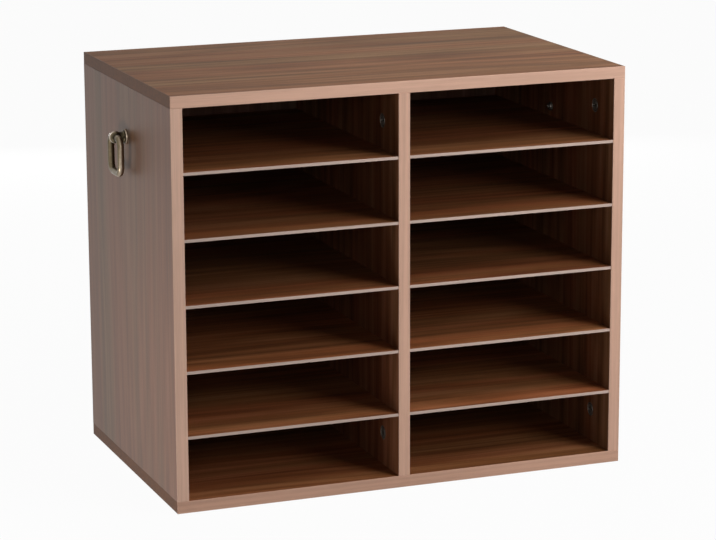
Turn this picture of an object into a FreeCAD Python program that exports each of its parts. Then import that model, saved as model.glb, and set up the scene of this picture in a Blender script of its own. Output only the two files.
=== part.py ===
"""Pigeonhole mail sorter: a flat-pack cabinet with two columns of letter compartments.

Sizes are millimetres. +Z is up, the open front faces -Y, and the origin is the middle
of the cabinet's underside.
"""
import FreeCAD, Part

import os
from collections import namedtuple

Vector = FreeCAD.Vector

# --- Cabinet boards ---------------------------------------------------------------
case_width = 480.0
case_depth = 300.0
case_height = 415.0
board_thickness = 12.0
edge_strip_thickness = 1.0
edge_strip_rounding = 0.4
compartment_rows = 6

# --- Shelves, held in grooves that stop short of the front --------------------------
shelf_thickness = 3.0
shelf_setback = 0.5
groove_depth = 4.0
groove_front_stop = 8.0

# --- Back panel, nailed into a rebate -----------------------------------------------
back_thickness = 3.0
rebate_depth = 4.0
rebate_lap = 6.0
nail_length = 14.0
nail_diameter = 1.4
nail_head_diameter = 3.2
nail_head_thickness = 0.5
nail_point_length = 1.6
nails_per_column = 3

# --- Cam fittings and dowels between the uprights and the top and bottom -------------
cam_diameter = 15.0
cam_depth_past_bolt = 3.5
cam_below_surface = 0.2
cam_to_board_end = 34.0
cam_to_front = 44.0
cam_cross_length = 8.0
cam_cross_width = 1.4
cam_cross_depth = 1.5
bolt_rod_diameter = 5.8
bolt_thread_diameter = 6.0
bolt_thread_length = 9.0
bolt_neck_diameter = 3.6
bolt_head_diameter = 6.0
bolt_head_length = 3.0
dowel_diameter = 6.0
dowel_in_upright = 22.0
dowel_in_board = 8.0
dowel_chamfer = 0.8
dowel_to_cam = 32.0

# --- Ring handles --------------------------------------------------------------------
handle_above_shelf = 10.7
rosette_diameter = 15.0
rosette_thickness = 2.5
rosette_rounding = 1.2
post_collar_diameter = 12.6
post_collar_thickness = 1.2
post_neck_diameter = 10.4
post_ball_diameter = 12.6
ring_standoff = 11.0
ring_wire_diameter = 7.0
ring_width = 34.0
ring_height = 35.5
ring_top_bend = 8.0
ring_bottom_bend = 9.0

# --- Handle screw and washer, fitted from inside the compartment ----------------------
screw_diameter = 4.0
screw_in_post = 3.5
screw_head_diameter = 8.0
screw_head_thickness = 2.6
screw_head_rounding = 1.0
screw_cross_length = 4.4
screw_cross_width = 1.0
screw_cross_depth = 1.3
washer_diameter = 10.0
washer_thickness = 0.8

# --- Clearances ------------------------------------------------------------------------
groove_clearance = 0.2
shelf_end_clearance = 0.3
shelf_side_clearance = 0.15
back_clearance = 0.3
fitting_clearance = 0.1
hole_end_clearance = 0.5
ring_running_clearance = 0.1

# --- Planes and levels that the pieces share -------------------------------------------
front = -case_depth / 2
rear = case_depth / 2
side = case_width / 2
board_front = front + edge_strip_thickness
ceiling = case_height - board_thickness
floor = board_thickness
wall = side - board_thickness
back_seat = rear - rebate_depth
back_face = back_seat + back_thickness
row_height = (ceiling - floor - (compartment_rows - 1) * shelf_thickness) / compartment_rows
row_pitch = row_height + shelf_thickness
handle_level = ceiling - row_height + handle_above_shelf
cam_rows = (front + cam_to_front, rear - cam_to_front)
dowel_rows = (cam_rows[0] + dowel_to_cam, cam_rows[1] - dowel_to_cam)

# A column is the space between two uprights. A joint is where uprights meet a board.
Column = namedtuple("Column", "name left right")
Upright = namedtuple("Upright", "name middle cam_side groove_sides")
Joint = namedtuple("Joint", "name level outward")

columns = (
    Column("left", -wall, -board_thickness / 2),
    Column("right", board_thickness / 2, wall),
)
uprights = (
    Upright("left_side", -(side + wall) / 2, 1, (1,)),
    Upright("centre_divider", 0.0, -1, (-1, 1)),
    Upright("right_side", (side + wall) / 2, -1, (-1,)),
)
joints = (Joint("top", ceiling, 1), Joint("bottom", floor, -1))


# --- Plain shapes ------------------------------------------------------------------------
def block(corner, opposite):
    """A box between two opposite corners, given in any order."""
    low = Vector(*(min(a, b) for a, b in zip(corner, opposite)))
    high = Vector(*(max(a, b) for a, b in zip(corner, opposite)))
    size = high - low
    return Part.makeBox(size.x, size.y, size.z, low)


def rod(diameter, start, end):
    """A round bar from one point to another."""
    along = end - start
    return Part.makeCylinder(diameter / 2, along.Length, start, along)


def joined(shapes):
    """One solid made of touching or overlapping shapes."""
    return shapes[0].fuse(shapes[1:]).removeSplitter()


def edges_in_plane(shape, axis, position):
    """The edges that lie wholly in the plane axis = position."""
    def lies_in_plane(edge):
        ends = edge.BoundBox
        low = getattr(ends, axis + "Min")
        high = getattr(ends, axis + "Max")
        return abs(low - position) < 1e-6 and abs(high - position) < 1e-6
    return [edge for edge in shape.Edges if lies_in_plane(edge)]


def cross_slots(centre, direction, length, width, depth):
    """Two crossed driver slots cut along X into a face at centre."""
    bottom = centre - direction * depth
    across = Vector(0, length / 2, width / 2)
    upright = Vector(0, width / 2, length / 2)
    return [
        block(centre - across, bottom + across),
        block(centre - upright, bottom + upright),
    ]


# --- Cam fittings and dowels --------------------------------------------------------------
def cam_centre(upright, joint, y):
    level = joint.level - joint.outward * cam_to_board_end
    return Vector(upright.middle, y, level)


def cam_pocket(upright, joint, y):
    """The round pocket in an upright's face that a cam lock fills."""
    centre = cam_centre(upright, joint, y)
    mouth = centre + Vector(upright.cam_side * board_thickness / 2, 0, 0)
    bottom = centre - Vector(upright.cam_side * cam_depth_past_bolt, 0, 0)
    return rod(cam_diameter, mouth, bottom)


def cam_lock(upright, joint, y):
    """A cam with a driver cross in its face and a slot that hooks over the bolt's head."""
    centre = cam_centre(upright, joint, y)
    outward = Vector(upright.cam_side, 0, 0)
    up = Vector(0, 0, joint.outward)
    face = centre + outward * (board_thickness / 2 - cam_below_surface)
    bottom = centre - outward * (cam_depth_past_bolt - fitting_clearance)
    body = rod(cam_diameter - 2 * fitting_clearance, face, bottom)
    head_room = bolt_head_length / 2 + fitting_clearance
    cavity = rod(
        bolt_head_diameter + 2 * fitting_clearance,
        centre - up * head_room,
        centre + up * head_room,
    )
    neck_slot = rod(
        bolt_neck_diameter + 2 * fitting_clearance,
        centre,
        centre + up * cam_diameter,
    )
    cross = cross_slots(face, outward, cam_cross_length, cam_cross_width, cam_cross_depth)
    return body.cut([cavity, neck_slot] + cross)


def bolt_hole_in_upright(upright, joint, y):
    start = Vector(upright.middle, y, joint.level)
    return rod(bolt_rod_diameter + 2 * fitting_clearance, start, cam_centre(upright, joint, y))


def bolt_hole_in_board(upright, joint, y):
    start = Vector(upright.middle, y, joint.level)
    end = start + Vector(0, 0, joint.outward * (bolt_thread_length + hole_end_clearance))
    return rod(bolt_thread_diameter + 2 * fitting_clearance, start, end)


def cam_bolt(upright, joint, y):
    """A headed bolt: screwed into the board, its head held by the cam in the upright."""
    centre = cam_centre(upright, joint, y)
    up = Vector(0, 0, joint.outward)
    seat = Vector(upright.middle, y, joint.level)
    rod_end = centre + up * (cam_diameter / 2 + hole_end_clearance)
    head_end = centre + up * (bolt_head_length / 2)
    head_start = centre - up * (bolt_head_length / 2)
    return joined([
        rod(bolt_thread_diameter, seat, seat + up * bolt_thread_length),
        rod(bolt_rod_diameter, rod_end, seat),
        rod(bolt_neck_diameter, head_end, rod_end),
        rod(bolt_head_diameter, head_start, head_end),
    ])


def dowel_ends(upright, joint, y):
    """Where a dowel starts in its upright and ends in the board."""
    seat = Vector(upright.middle, y, joint.level)
    inner = seat - Vector(0, 0, joint.outward * dowel_in_upright)
    outer = seat + Vector(0, 0, joint.outward * dowel_in_board)
    return inner, outer


def dowel(upright, joint, y):
    inner, outer = dowel_ends(upright, joint, y)
    body = rod(dowel_diameter, inner, outer)
    rims = edges_in_plane(body, "Z", inner.z) + edges_in_plane(body, "Z", outer.z)
    return body.makeChamfer(dowel_chamfer, rims)


def dowel_hole(upright, joint, y):
    inner, outer = dowel_ends(upright, joint, y)
    extra = Vector(0, 0, joint.outward * hole_end_clearance)
    return rod(dowel_diameter + 2 * fitting_clearance, inner - extra, outer + extra)


# --- Back panel and its nails ----------------------------------------------------------------
def back_block(lap, start, end):
    """A slab behind all the compartments that laps onto the boards around them."""
    return block(
        Vector(-wall - lap, start, floor - lap),
        Vector(wall + lap, end, ceiling + lap),
    )


def row_middle(row):
    """The height of the middle of a row of compartments, counted from the bottom."""
    return floor + row * row_pitch + row_height / 2


def nail_places():
    """Nails go into each upright beside every row, and into top and bottom by column."""
    side_x = wall + rebate_lap / 2
    places = []
    for x in (-side_x, 0.0, side_x):
        for row in range(compartment_rows):
            places.append((x, row_middle(row)))
    for column in columns:
        spacing = (column.right - column.left) / nails_per_column
        for index in range(nails_per_column):
            x = column.left + (index + 0.5) * spacing
            places.append((x, ceiling + rebate_lap / 2))
            places.append((x, floor - rebate_lap / 2))
    return places


def nail(x, z):
    under_head = Vector(x, back_face, z)
    tip_start = Vector(x, back_face - nail_length + nail_point_length, z)
    point = Part.makeCone(nail_diameter / 2, 0, nail_point_length, tip_start, Vector(0, -1, 0))
    head = rod(nail_head_diameter, under_head, Vector(x, back_face + nail_head_thickness, z))
    return joined([head, rod(nail_diameter, under_head, tip_start), point])


def nail_hole(x, z):
    start = Vector(x, rear, z)
    end = Vector(x, back_face - nail_length - hole_end_clearance, z)
    return rod(nail_diameter + 2 * fitting_clearance, start, end)


def back_panel():
    lap = rebate_lap - back_clearance
    return back_block(lap, back_seat, back_face).cut([nail_hole(x, z) for x, z in nail_places()])


# --- Boards ----------------------------------------------------------------------------------
def shelf_level(index):
    """The underside of a shelf, counted from the top."""
    return ceiling - index * row_pitch


def shelf(column, index):
    """A thin board with notched front corners, so that its grooves don't show in front."""
    low = shelf_level(index)
    high = low + shelf_thickness
    back_edge = back_seat - shelf_end_clearance
    reach = groove_depth - shelf_end_clearance
    tongue_front = front + groove_front_stop + shelf_end_clearance
    between_walls = block(
        Vector(column.left + shelf_side_clearance, front + shelf_setback, low),
        Vector(column.right - shelf_side_clearance, back_edge, high),
    )
    in_grooves = block(
        Vector(column.left - reach, tongue_front, low),
        Vector(column.right + reach, back_edge, high),
    )
    return joined([between_walls, in_grooves])


def shelf_groove(upright, groove_side, index):
    low = shelf_level(index)
    face = upright.middle + groove_side * board_thickness / 2
    return block(
        Vector(face, front + groove_front_stop, low),
        Vector(face - groove_side * groove_depth, rear, low + shelf_thickness + groove_clearance),
    )


def upright_board(upright):
    """A side or divider, with its grooves, cam pockets, bolt holes and dowel holes."""
    half = board_thickness / 2
    board = block(
        Vector(upright.middle - half, board_front, floor),
        Vector(upright.middle + half, rear, ceiling),
    )
    tools = [back_block(rebate_lap, back_seat, rear)]
    for groove_side in upright.groove_sides:
        for index in range(1, compartment_rows):
            tools.append(shelf_groove(upright, groove_side, index))
    for joint in joints:
        for y in cam_rows:
            tools.append(cam_pocket(upright, joint, y))
            tools.append(bolt_hole_in_upright(upright, joint, y))
        for y in dowel_rows:
            tools.append(dowel_hole(upright, joint, y))
    tools += [nail_hole(x, z) for x, z in nail_places()]
    return board.cut(tools)


def side_board(upright):
    """A side has the handle's screw hole as well."""
    inside = Vector(upright.middle - board_thickness, 0, handle_level)
    outside = Vector(upright.middle + board_thickness, 0, handle_level)
    hole = rod(screw_diameter + 2 * fitting_clearance, inside, outside)
    return upright_board(upright).cut(hole)


def outer_level(joint):
    """The outer face of the top or bottom board."""
    return joint.level + joint.outward * board_thickness


def flat_board(joint):
    """The top or bottom, which runs over the ends of all three uprights."""
    end = side - edge_strip_thickness
    board = block(
        Vector(-end, board_front, joint.level),
        Vector(end, rear, outer_level(joint)),
    )
    tools = [back_block(rebate_lap, back_seat, rear)]
    for upright in uprights:
        tools += [bolt_hole_in_board(upright, joint, y) for y in cam_rows]
        tools += [dowel_hole(upright, joint, y) for y in dowel_rows]
    tools += [nail_hole(x, z) for x, z in nail_places()]
    return board.cut(tools)


# --- Edge strips --------------------------------------------------------------------------------
def front_strip(left, right, bottom, top):
    strip = block(Vector(left, front, bottom), Vector(right, board_front, top))
    return strip.makeFillet(edge_strip_rounding, edges_in_plane(strip, "Y", front))


def end_strip(hand, joint):
    """The strip on the left (-1) or right (1) end of the top or bottom board."""
    inner = hand * (side - edge_strip_thickness)
    strip = block(
        Vector(inner, board_front, joint.level),
        Vector(hand * side, rear, outer_level(joint)),
    )
    return strip.makeFillet(edge_strip_rounding, edges_in_plane(strip, "X", hand * side))


# --- Ring handles ---------------------------------------------------------------------------------
def handle_point(hand, distance, y=0.0, rise=0.0):
    """A point at a distance outside a side's outer face, level with the handle's post."""
    return Vector(hand * (side + distance), y, handle_level + rise)


def rosette(hand):
    """The round plate behind the post."""
    face = handle_point(hand, rosette_thickness)
    plate = rod(rosette_diameter, handle_point(hand, 0), face)
    plate = plate.makeFillet(rosette_rounding, edges_in_plane(plate, "X", face.x))
    hole = rod(screw_diameter + 2 * fitting_clearance, handle_point(hand, 0), face)
    return plate.cut(hole)


def handle_post(hand):
    """A collar, neck and ball, tapped for the screw and drilled across for the ring."""
    base = handle_point(hand, rosette_thickness)
    collar_end = handle_point(hand, rosette_thickness + post_collar_thickness)
    centre = handle_point(hand, ring_standoff)
    bore_end = handle_point(hand, rosette_thickness + screw_in_post + hole_end_clearance)
    body = joined([
        rod(post_collar_diameter, base, collar_end),
        rod(post_neck_diameter, base, centre),
        Part.makeSphere(post_ball_diameter / 2, centre),
    ])
    half_ball = Vector(0, post_ball_diameter, 0)
    eye_diameter = ring_wire_diameter + 2 * ring_running_clearance
    eye = rod(eye_diameter, centre - half_ball, centre + half_ball)
    tapped_bore = rod(screw_diameter + 2 * fitting_clearance, base, bore_end)
    return body.cut([eye, tapped_bore])


def bent_wire_loop(corners, diameter):
    """A closed loop of round wire: corners are (point, bend radius), bends are square."""
    pieces = []
    count = len(corners)
    for index, (point, radius) in enumerate(corners):
        before = corners[index - 1][0]
        after, next_radius = corners[(index + 1) % count]
        arriving = (point - before).normalize()
        leaving = (after - point).normalize()
        bend_start = point - arriving * radius
        bend_end = point + leaving * radius
        centre = bend_start + leaving * radius
        disc = Part.Face(Part.Wire(Part.makeCircle(diameter / 2, bend_start, arriving)))
        pieces.append(disc.revolve(centre, arriving.cross(leaving), 90))
        pieces.append(rod(diameter, bend_end, after - leaving * next_radius))
    return joined(pieces)


def ring(hand):
    """The loop whose straight top bar turns in the post's ball. It hangs straight down."""
    half = ring_width / 2
    corners = [
        (handle_point(hand, ring_standoff, -half, 0), ring_top_bend),
        (handle_point(hand, ring_standoff, half, 0), ring_top_bend),
        (handle_point(hand, ring_standoff, half, -ring_height), ring_bottom_bend),
        (handle_point(hand, ring_standoff, -half, -ring_height), ring_bottom_bend),
    ]
    return bent_wire_loop(corners, ring_wire_diameter)


def washer(hand):
    inner = handle_point(hand, -board_thickness - washer_thickness)
    outer = handle_point(hand, -board_thickness)
    hole = rod(screw_diameter + 2 * fitting_clearance, inner, outer)
    return rod(washer_diameter, inner, outer).cut(hole)


def handle_screw(hand):
    """A pan-head screw: through washer, side and rosette, and into the post."""
    under_head = handle_point(hand, -board_thickness - washer_thickness)
    crown = handle_point(hand, -board_thickness - washer_thickness - screw_head_thickness)
    tip = handle_point(hand, rosette_thickness + screw_in_post)
    head = rod(screw_head_diameter, under_head, crown)
    head = head.makeFillet(screw_head_rounding, edges_in_plane(head, "X", crown.x))
    inward = Vector(-hand, 0, 0)
    cross = cross_slots(crown, inward, screw_cross_length, screw_cross_width, screw_cross_depth)
    return joined([head, rod(screw_diameter, under_head, tip)]).cut(cross)


# --- The whole cabinet -----------------------------------------------------------------------------
def build():
    """Every node of the cabinet, by name."""
    left_side, centre_divider, right_side = uprights
    nodes = {
        "left_side_panel": side_board(left_side),
        "right_side_panel": side_board(right_side),
        "centre_divider": upright_board(centre_divider),
        "back_panel": back_panel(),
        "back_panel_nails": Part.makeCompound([nail(x, z) for x, z in nail_places()]),
        "left_front_strip": front_strip(-side, -wall, floor, ceiling),
        "right_front_strip": front_strip(wall, side, floor, ceiling),
        "divider_front_strip": front_strip(columns[0].right, columns[1].left, floor, ceiling),
    }
    for joint in joints:
        low, high = sorted((joint.level, outer_level(joint)))
        bolts = [cam_bolt(upright, joint, y) for upright in uprights for y in cam_rows]
        dowels = [dowel(upright, joint, y) for upright in uprights for y in dowel_rows]
        nodes[joint.name + "_panel"] = flat_board(joint)
        nodes[joint.name + "_front_strip"] = front_strip(-side, side, low, high)
        nodes[joint.name + "_left_end_strip"] = end_strip(-1, joint)
        nodes[joint.name + "_right_end_strip"] = end_strip(1, joint)
        nodes[joint.name + "_cam_bolts"] = Part.makeCompound(bolts)
        nodes[joint.name + "_dowels"] = Part.makeCompound(dowels)
    for upright in uprights:
        cams = [cam_lock(upright, joint, y) for joint in joints for y in cam_rows]
        nodes[upright.name + "_cam_locks"] = Part.makeCompound(cams)
    for column in columns:
        for index in range(1, compartment_rows):
            nodes[column.name + "_shelf_" + str(index)] = shelf(column, index)
    for name, hand in (("left", -1), ("right", 1)):
        nodes[name + "_handle_rosette"] = rosette(hand)
        nodes[name + "_handle_post"] = handle_post(hand)
        nodes[name + "_handle_ring"] = ring(hand)
        nodes[name + "_handle_screw"] = handle_screw(hand)
        nodes[name + "_handle_washer"] = washer(hand)
    return nodes


os.makedirs("parts", exist_ok=True)
for node_name, node_shape in build().items():
    node_shape.exportStep(os.path.join("parts", node_name + ".step"))
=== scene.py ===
"""Pigeonhole mail sorter, finished for show.

The cabinet's solids are loaded as they are. Each operator then finishes one group of
pieces: foil on the boards, strips on their edges, cam locks, nails and ring handles.
The last one sets up a plain studio. Lengths are metres, +Z is up, and the open front
faces -Y.
"""

import math

import bmesh
import bpy
from bpy.props import FloatProperty, FloatVectorProperty, IntProperty, PointerProperty
from mathutils import Matrix, Vector


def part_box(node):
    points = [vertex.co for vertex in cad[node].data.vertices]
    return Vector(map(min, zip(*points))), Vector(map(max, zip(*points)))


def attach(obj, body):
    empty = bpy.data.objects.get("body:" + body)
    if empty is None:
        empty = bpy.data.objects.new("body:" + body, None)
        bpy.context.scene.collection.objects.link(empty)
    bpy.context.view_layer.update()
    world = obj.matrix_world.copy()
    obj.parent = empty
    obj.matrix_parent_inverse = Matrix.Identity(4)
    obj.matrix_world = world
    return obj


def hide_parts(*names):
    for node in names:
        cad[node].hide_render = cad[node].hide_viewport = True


bl_info = {
    "name": "Pigeonhole Mail Sorter",
    "version": (1, 0, 0),
    "blender": (4, 5, 0),
    "location": "3D View > Sidebar > Mail Sorter",
    "description": "Foil-faced boards, edge strips, fittings and ring handles of a mail sorter",
    "category": "Object",
}

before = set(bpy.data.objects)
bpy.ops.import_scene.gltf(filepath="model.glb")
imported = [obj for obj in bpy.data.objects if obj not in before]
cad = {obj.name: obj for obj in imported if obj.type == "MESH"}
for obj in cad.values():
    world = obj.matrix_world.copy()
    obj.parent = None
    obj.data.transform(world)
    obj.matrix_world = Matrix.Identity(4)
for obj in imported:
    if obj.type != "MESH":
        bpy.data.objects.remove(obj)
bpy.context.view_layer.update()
uprights = ("left_side_panel", "centre_divider", "right_side_panel")
hands = {"left": -1, "right": 1}
white = (1.0, 1.0, 1.0, 1.0)


# --- Places and sizes read from the solids ----------------------------------------------
def size_of(node):
    low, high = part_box(node)
    return high - low


def middle_of(node):
    low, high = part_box(node)
    return (low + high) / 2


row_count = 1 + sum(node.startswith("left_shelf_") for node in cad)
strip_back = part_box("top_front_strip")[1].y
top_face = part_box("top_panel")[1].z
rear_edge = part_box("top_panel")[1].y
side_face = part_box("top_right_end_strip")[1].x
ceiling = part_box("top_panel")[0].z
floor_board_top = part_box("bottom_panel")[1].z
shelf_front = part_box("left_shelf_1")[0].y
back_outer_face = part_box("back_panel")[1].y
shelf_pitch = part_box("left_shelf_1")[0].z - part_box("left_shelf_2")[0].z
upright_pitch = middle_of("right_side_panel").x - middle_of("centre_divider").x
handle_level = middle_of("right_handle_rosette").z
ring_standoff = middle_of("right_handle_ring").x - side_face
ring_span = size_of("right_handle_ring")
ring_wire = ring_span.x
rosette_size = size_of("right_handle_rosette")
post_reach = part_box("right_handle_post")[1].x - side_face
ball_diameter = 2 * (post_reach - ring_standoff)
washer_size = size_of("right_handle_washer")
screw_size = size_of("right_handle_screw")
cam_depth = size_of("right_side_cam_locks").x

# How often fittings repeat: across the columns, from front to back, and at top and bottom
column_count = len(uprights) - 1
depth_count = 2
end_count = 2

# How far below a surface its own finish is already full
edge_margin = 0.0001
# Faces that meet at more than this angle keep a sharp edge between them
usual_crease = math.radians(32)


# --- Settings ---------------------------------------------------------------------------
def kind_of(declare, **fixed):
    """A short form of a property type: it takes the name, description, default and limits."""
    def short_form(name, description, default, **limits):
        return declare(name=name, description=description, default=default, **fixed, **limits)
    return short_form


length = kind_of(FloatProperty, precision=4, subtype="DISTANCE", unit="LENGTH")
colour = kind_of(FloatVectorProperty, size=3, min=0.0, max=1.0, subtype="COLOR")
fraction = kind_of(FloatProperty, min=0.0, max=1.0, subtype="FACTOR")
tilt = kind_of(FloatProperty, subtype="ANGLE", unit="ROTATION")
watts = kind_of(FloatProperty, min=0.0, unit="POWER")
whole = kind_of(IntProperty)


class BoardSettings(bpy.types.PropertyGroup):
    walnut_dark: colour("Walnut Dark", "Darkest streaks of the foil", (0.102, 0.039, 0.015))
    walnut_brown: colour("Walnut Brown", "Middle tone of the foil", (0.255, 0.108, 0.045))
    walnut_light: colour("Walnut Light", "Lightest streaks of the foil", (0.400, 0.195, 0.100))
    top_tint: colour("Top Tint", "Tint of the foil on top", (0.80, 0.81, 0.78))
    # Painted shade and painted grey reflection: a darker, greyer copy of the top's foil on the outer side
    # faces.
    side_tint: colour("Side Tint", "Tint of the foil on the outer side faces", (0.66, 0.74, 0.93))
    wall_tint: colour("Wall Tint", "Tint of the foil on the uprights' inner faces", (0.90, 0.88, 1.00))
    # Painted shade: a darker copy of the foil on the upper shelves.
    shelf_tint: colour("Shelf Tint", "Tint of the foil on the upper shelves", (0.71, 0.60, 0.56))
    # Painted light: a lighter copy of the same foil on the lower shelves.
    low_tint: colour("Low Tint", "Tint of the lighter foil on the lower shelves", (0.98, 0.83, 0.76))
    # Painted warm light: a warmer copy of the top's foil on the faces inside the compartments.
    floor_tint: colour("Floor Tint", "Tint of the foil on the bottom's upper face", (0.80, 0.68, 0.62))
    # Painted shade and painted haze: a darker, bluer copy of the foil on the back panel, deep in the
    # compartments.
    back_tint: colour("Back Tint", "Tint of the foil on the back panel", (0.45, 0.50, 0.75))
    streak_width: length("Streak Width", "Width of a typical streak across the grain", 0.009, min=0.001)
    pore_length: length("Pore Length", "Length of the short dark pores", 0.014, min=0.001)
    raw_board: colour("Raw Board", "Bare fibreboard at the rear edges", (0.400, 0.275, 0.175))
    hardboard: colour("Hardboard", "Outer face of the back panel", (0.190, 0.115, 0.066))
    side_coat: fraction("Side Coat", "Share of lacquer on the outer side faces", 0.52)


class StripSettings(bpy.types.PropertyGroup):
    front_strip: colour("Front Strip", "Pale strips along the front edges", (0.570, 0.345, 0.252))
    # Painted light: a lighter, paler copy of the front strips' colour.
    left_strip: colour("Left Strip", "Strip along the left side's front edge", (0.600, 0.380, 0.285))
    # Painted shade: a darker copy of the front strips' colour, low down near the floor.
    bottom_strip: colour("Bottom Strip", "Strip along the bottom's front edge", (0.495, 0.290, 0.205))
    end_strip: colour("End Strip", "Strips on the ends of the top and bottom", (0.115, 0.040, 0.010))
    shelf_edge: colour("Shelf Edge", "Front edges of the thin shelves", (0.530, 0.400, 0.340))


class FittingSettings(bpy.types.PropertyGroup):
    zinc: colour("Zinc", "Die-cast cam locks", (0.230, 0.200, 0.170))
    steel: colour("Steel", "Nails, bolts, screws and washers", (0.330, 0.310, 0.280))
    beech: colour("Beech", "Dowels", (0.640, 0.450, 0.270))
    cam_diameter: length("Cam Diameter", "Diameter of a cam lock", 0.0148, min=0.005)
    cam_rim: length("Cam Rim", "Width of the raised rim of a cam lock", 0.0011, min=0.0003)
    cam_groove: length("Cam Groove", "Depth of the ring between rim and hub", 0.0004, min=0.0001)
    nail_head: length("Nail Head", "Diameter of a nail's head", 0.0032, min=0.001)
    nail_length: length("Nail Length", "Length of a nail below its head", 0.014, min=0.005)
    nail_dome: length("Nail Dome", "Rise of a nail's head at its middle", 0.00015, min=0.0)
    nails_per_column: whole("Nails per Column", "Nails into one end of a column", 3, min=1)
    seed: whole("Seed", "Seed of the nails' turns", 7, min=0)
    bolt_diameter: length("Bolt Diameter", "Diameter of the cam bolts and dowels", 0.006, min=0.004)
    flutes: whole("Flutes", "Flutes round a dowel", 14, min=6, max=24)


class HandleSettings(bpy.types.PropertyGroup):
    wire: length("Wire", "Diameter of the ring's wire", ring_wire, min=0.002)
    width: length("Width", "Width of the ring between wire centres", ring_span.y - ring_wire, min=0.01)
    height: length("Height", "Height of the ring between wire centres", ring_span.z - ring_wire, min=0.01)
    top_bend: length("Top Bend", "Bend radius of the ring's upper corners", 0.008, min=0.003)
    bottom_bend: length("Bottom Bend", "Bend radius of the ring's lower corners", 0.009, min=0.003)
    collar: length("Collar", "Diameter of the post's collar", 0.0126, min=0.005)
    neck: length("Neck", "Diameter of the post between collar and ball", 0.0104, min=0.004)
    patina: colour("Patina", "Darkened brass in the recesses", (0.034, 0.027, 0.015))
    brass: colour("Brass", "Aged brass on the open faces", (0.152, 0.117, 0.071))
    worn_brass: colour("Worn Brass", "Rubbed brass on the ridges", (0.500, 0.400, 0.310))


class StudioSettings(bpy.types.PropertyGroup):
    camera_place: FloatVectorProperty(
        name="Camera Place", description="Where the camera stands", size=3,
        default=(-1.0274, -2.6870, 0.8673), subtype="TRANSLATION", unit="LENGTH",
    )
    camera_turn: tilt("Camera Turn", "Turn of the camera from +Y towards +X", math.radians(21.08))
    camera_dip: tilt("Camera Dip", "How far the camera looks down", math.radians(13.2))
    camera_roll: tilt("Camera Roll", "Turn about the line of sight", math.radians(-0.22))
    focal_length: FloatProperty(
        name="Focal Length", description="Lens on a 36 mm wide sensor, in millimetres",
        default=142.34, min=20.0, subtype="DISTANCE_CAMERA",
    )
    key_power: watts("Key Power", "Power of the soft lamp above on the right", 11.5)
    right_power: watts("Right Power", "Power of the lamp that reaches into the compartments", 14.8)
    front_power: watts("Front Power", "Power of the weak lamp in front on the left", 8.5)
    side_power: watts("Side Power", "Power of the low lamp beside the left side", 1.2)
    rear_power: watts("Rear Power", "Power of the low lamp behind the back panel", 15.0)
    sky: fraction("Sky", "Strength of the even light from all round", 0.02)
    floor: colour("Floor", "Colour of the floor", (0.42, 0.42, 0.42))
    floor_glow: fraction("Floor Glow", "How far the floor is lifted to white where it is seen", 0.965)


# --- Node trees -------------------------------------------------------------------------
class Signal:
    """A node's output that can be used in arithmetic. Each sum adds a Math node."""

    def __init__(self, graph, socket):
        self.graph = graph
        self.socket = socket

    def other(self, name):
        """Another output of the same node."""
        return Signal(self.graph, self.socket.node.outputs[name])

    def __add__(self, term):
        return self.graph.maths("ADD", self, term)

    def __radd__(self, term):
        return self.graph.maths("ADD", term, self)

    def __sub__(self, term):
        return self.graph.maths("SUBTRACT", self, term)

    def __rsub__(self, term):
        return self.graph.maths("SUBTRACT", term, self)

    def __mul__(self, term):
        return self.graph.maths("MULTIPLY", self, term)

    def ramped(self, start, end):
        """0 below start, 1 above end, and smooth between. start may be above end."""
        return self.graph.node(
            "ShaderNodeMapRange", {"Value": self, "From Min": start, "From Max": end},
            interpolation_type="SMOOTHSTEP",
        )

    def near(self, level, width):
        """0 at a width below a level, and 1 at the level. A negative width is above it."""
        return self.ramped(level - width, level - math.copysign(edge_margin, width))


class Graph:
    """The nodes of one tree."""

    def __init__(self, tree):
        self.tree = tree

    def node(self, kind, inputs=None, output=None, **settings):
        """Adds a node. Its settings are set first, then the values or links of its sockets."""
        made = self.tree.nodes.new(kind)
        for name, value in settings.items():
            if name == "stops":
                set_ramp(made.color_ramp, value)
            else:
                setattr(made, name, value)
        for key, value in (inputs or {}).items():
            socket = made.inputs[key] if isinstance(key, int) else open_socket(made.inputs, key)
            if isinstance(value, Signal):
                self.tree.links.new(value.socket, socket)
            else:
                socket.default_value = value
        shown = [socket for socket in made.outputs if socket.enabled]
        if not shown:
            return made
        return Signal(self, made.outputs[output] if output else shown[0])

    def maths(self, operation, first, second=0.0):
        return self.node("ShaderNodeMath", {0: first, 1: second}, operation=operation)

    def vector(self, operation, first, second):
        return self.node("ShaderNodeVectorMath", {0: first, 1: second}, operation=operation)

    def combined(self, **parts):
        return self.node("ShaderNodeCombineXYZ", parts)

    def mixed(self, share, first, second, blend="MIX"):
        """Two colours mixed: share 0 is the first, share 1 the second."""
        return self.node(
            "ShaderNodeMix", {"Factor": share, "A": first, "B": second},
            data_type="RGBA", blend_type=blend,
        )

    def ramp(self, place, *stops):
        return self.node("ShaderNodeValToRGB", {"Fac": place}, stops=stops)

    def tinted(self, paint, tint):
        return self.mixed(1.0, paint, tint, "MULTIPLY")

    def toned(self, share, tint, dark, light=1.0):
        """One tint from its dark strength at share 0 to its light one at share 1."""
        return self.mixed(share, opaque(tint, dark), opaque(tint, light))

    def noise(self, place, *repeats, detail=2.0, roughness=0.5):
        """Smooth noise. The last number of repeats per metre also holds for the axes left."""
        repeats += repeats[-1:] * (3 - len(repeats))
        return self.node("ShaderNodeTexNoise", {
            "Vector": self.vector("MULTIPLY", place, repeats), "Scale": 1.0,
            "Detail": detail, "Roughness": roughness,
        })


def cleared_tree(owner):
    """The node tree of a material or world, emptied."""
    owner.use_nodes = True
    owner.node_tree.nodes.clear()
    return owner.node_tree


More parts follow.
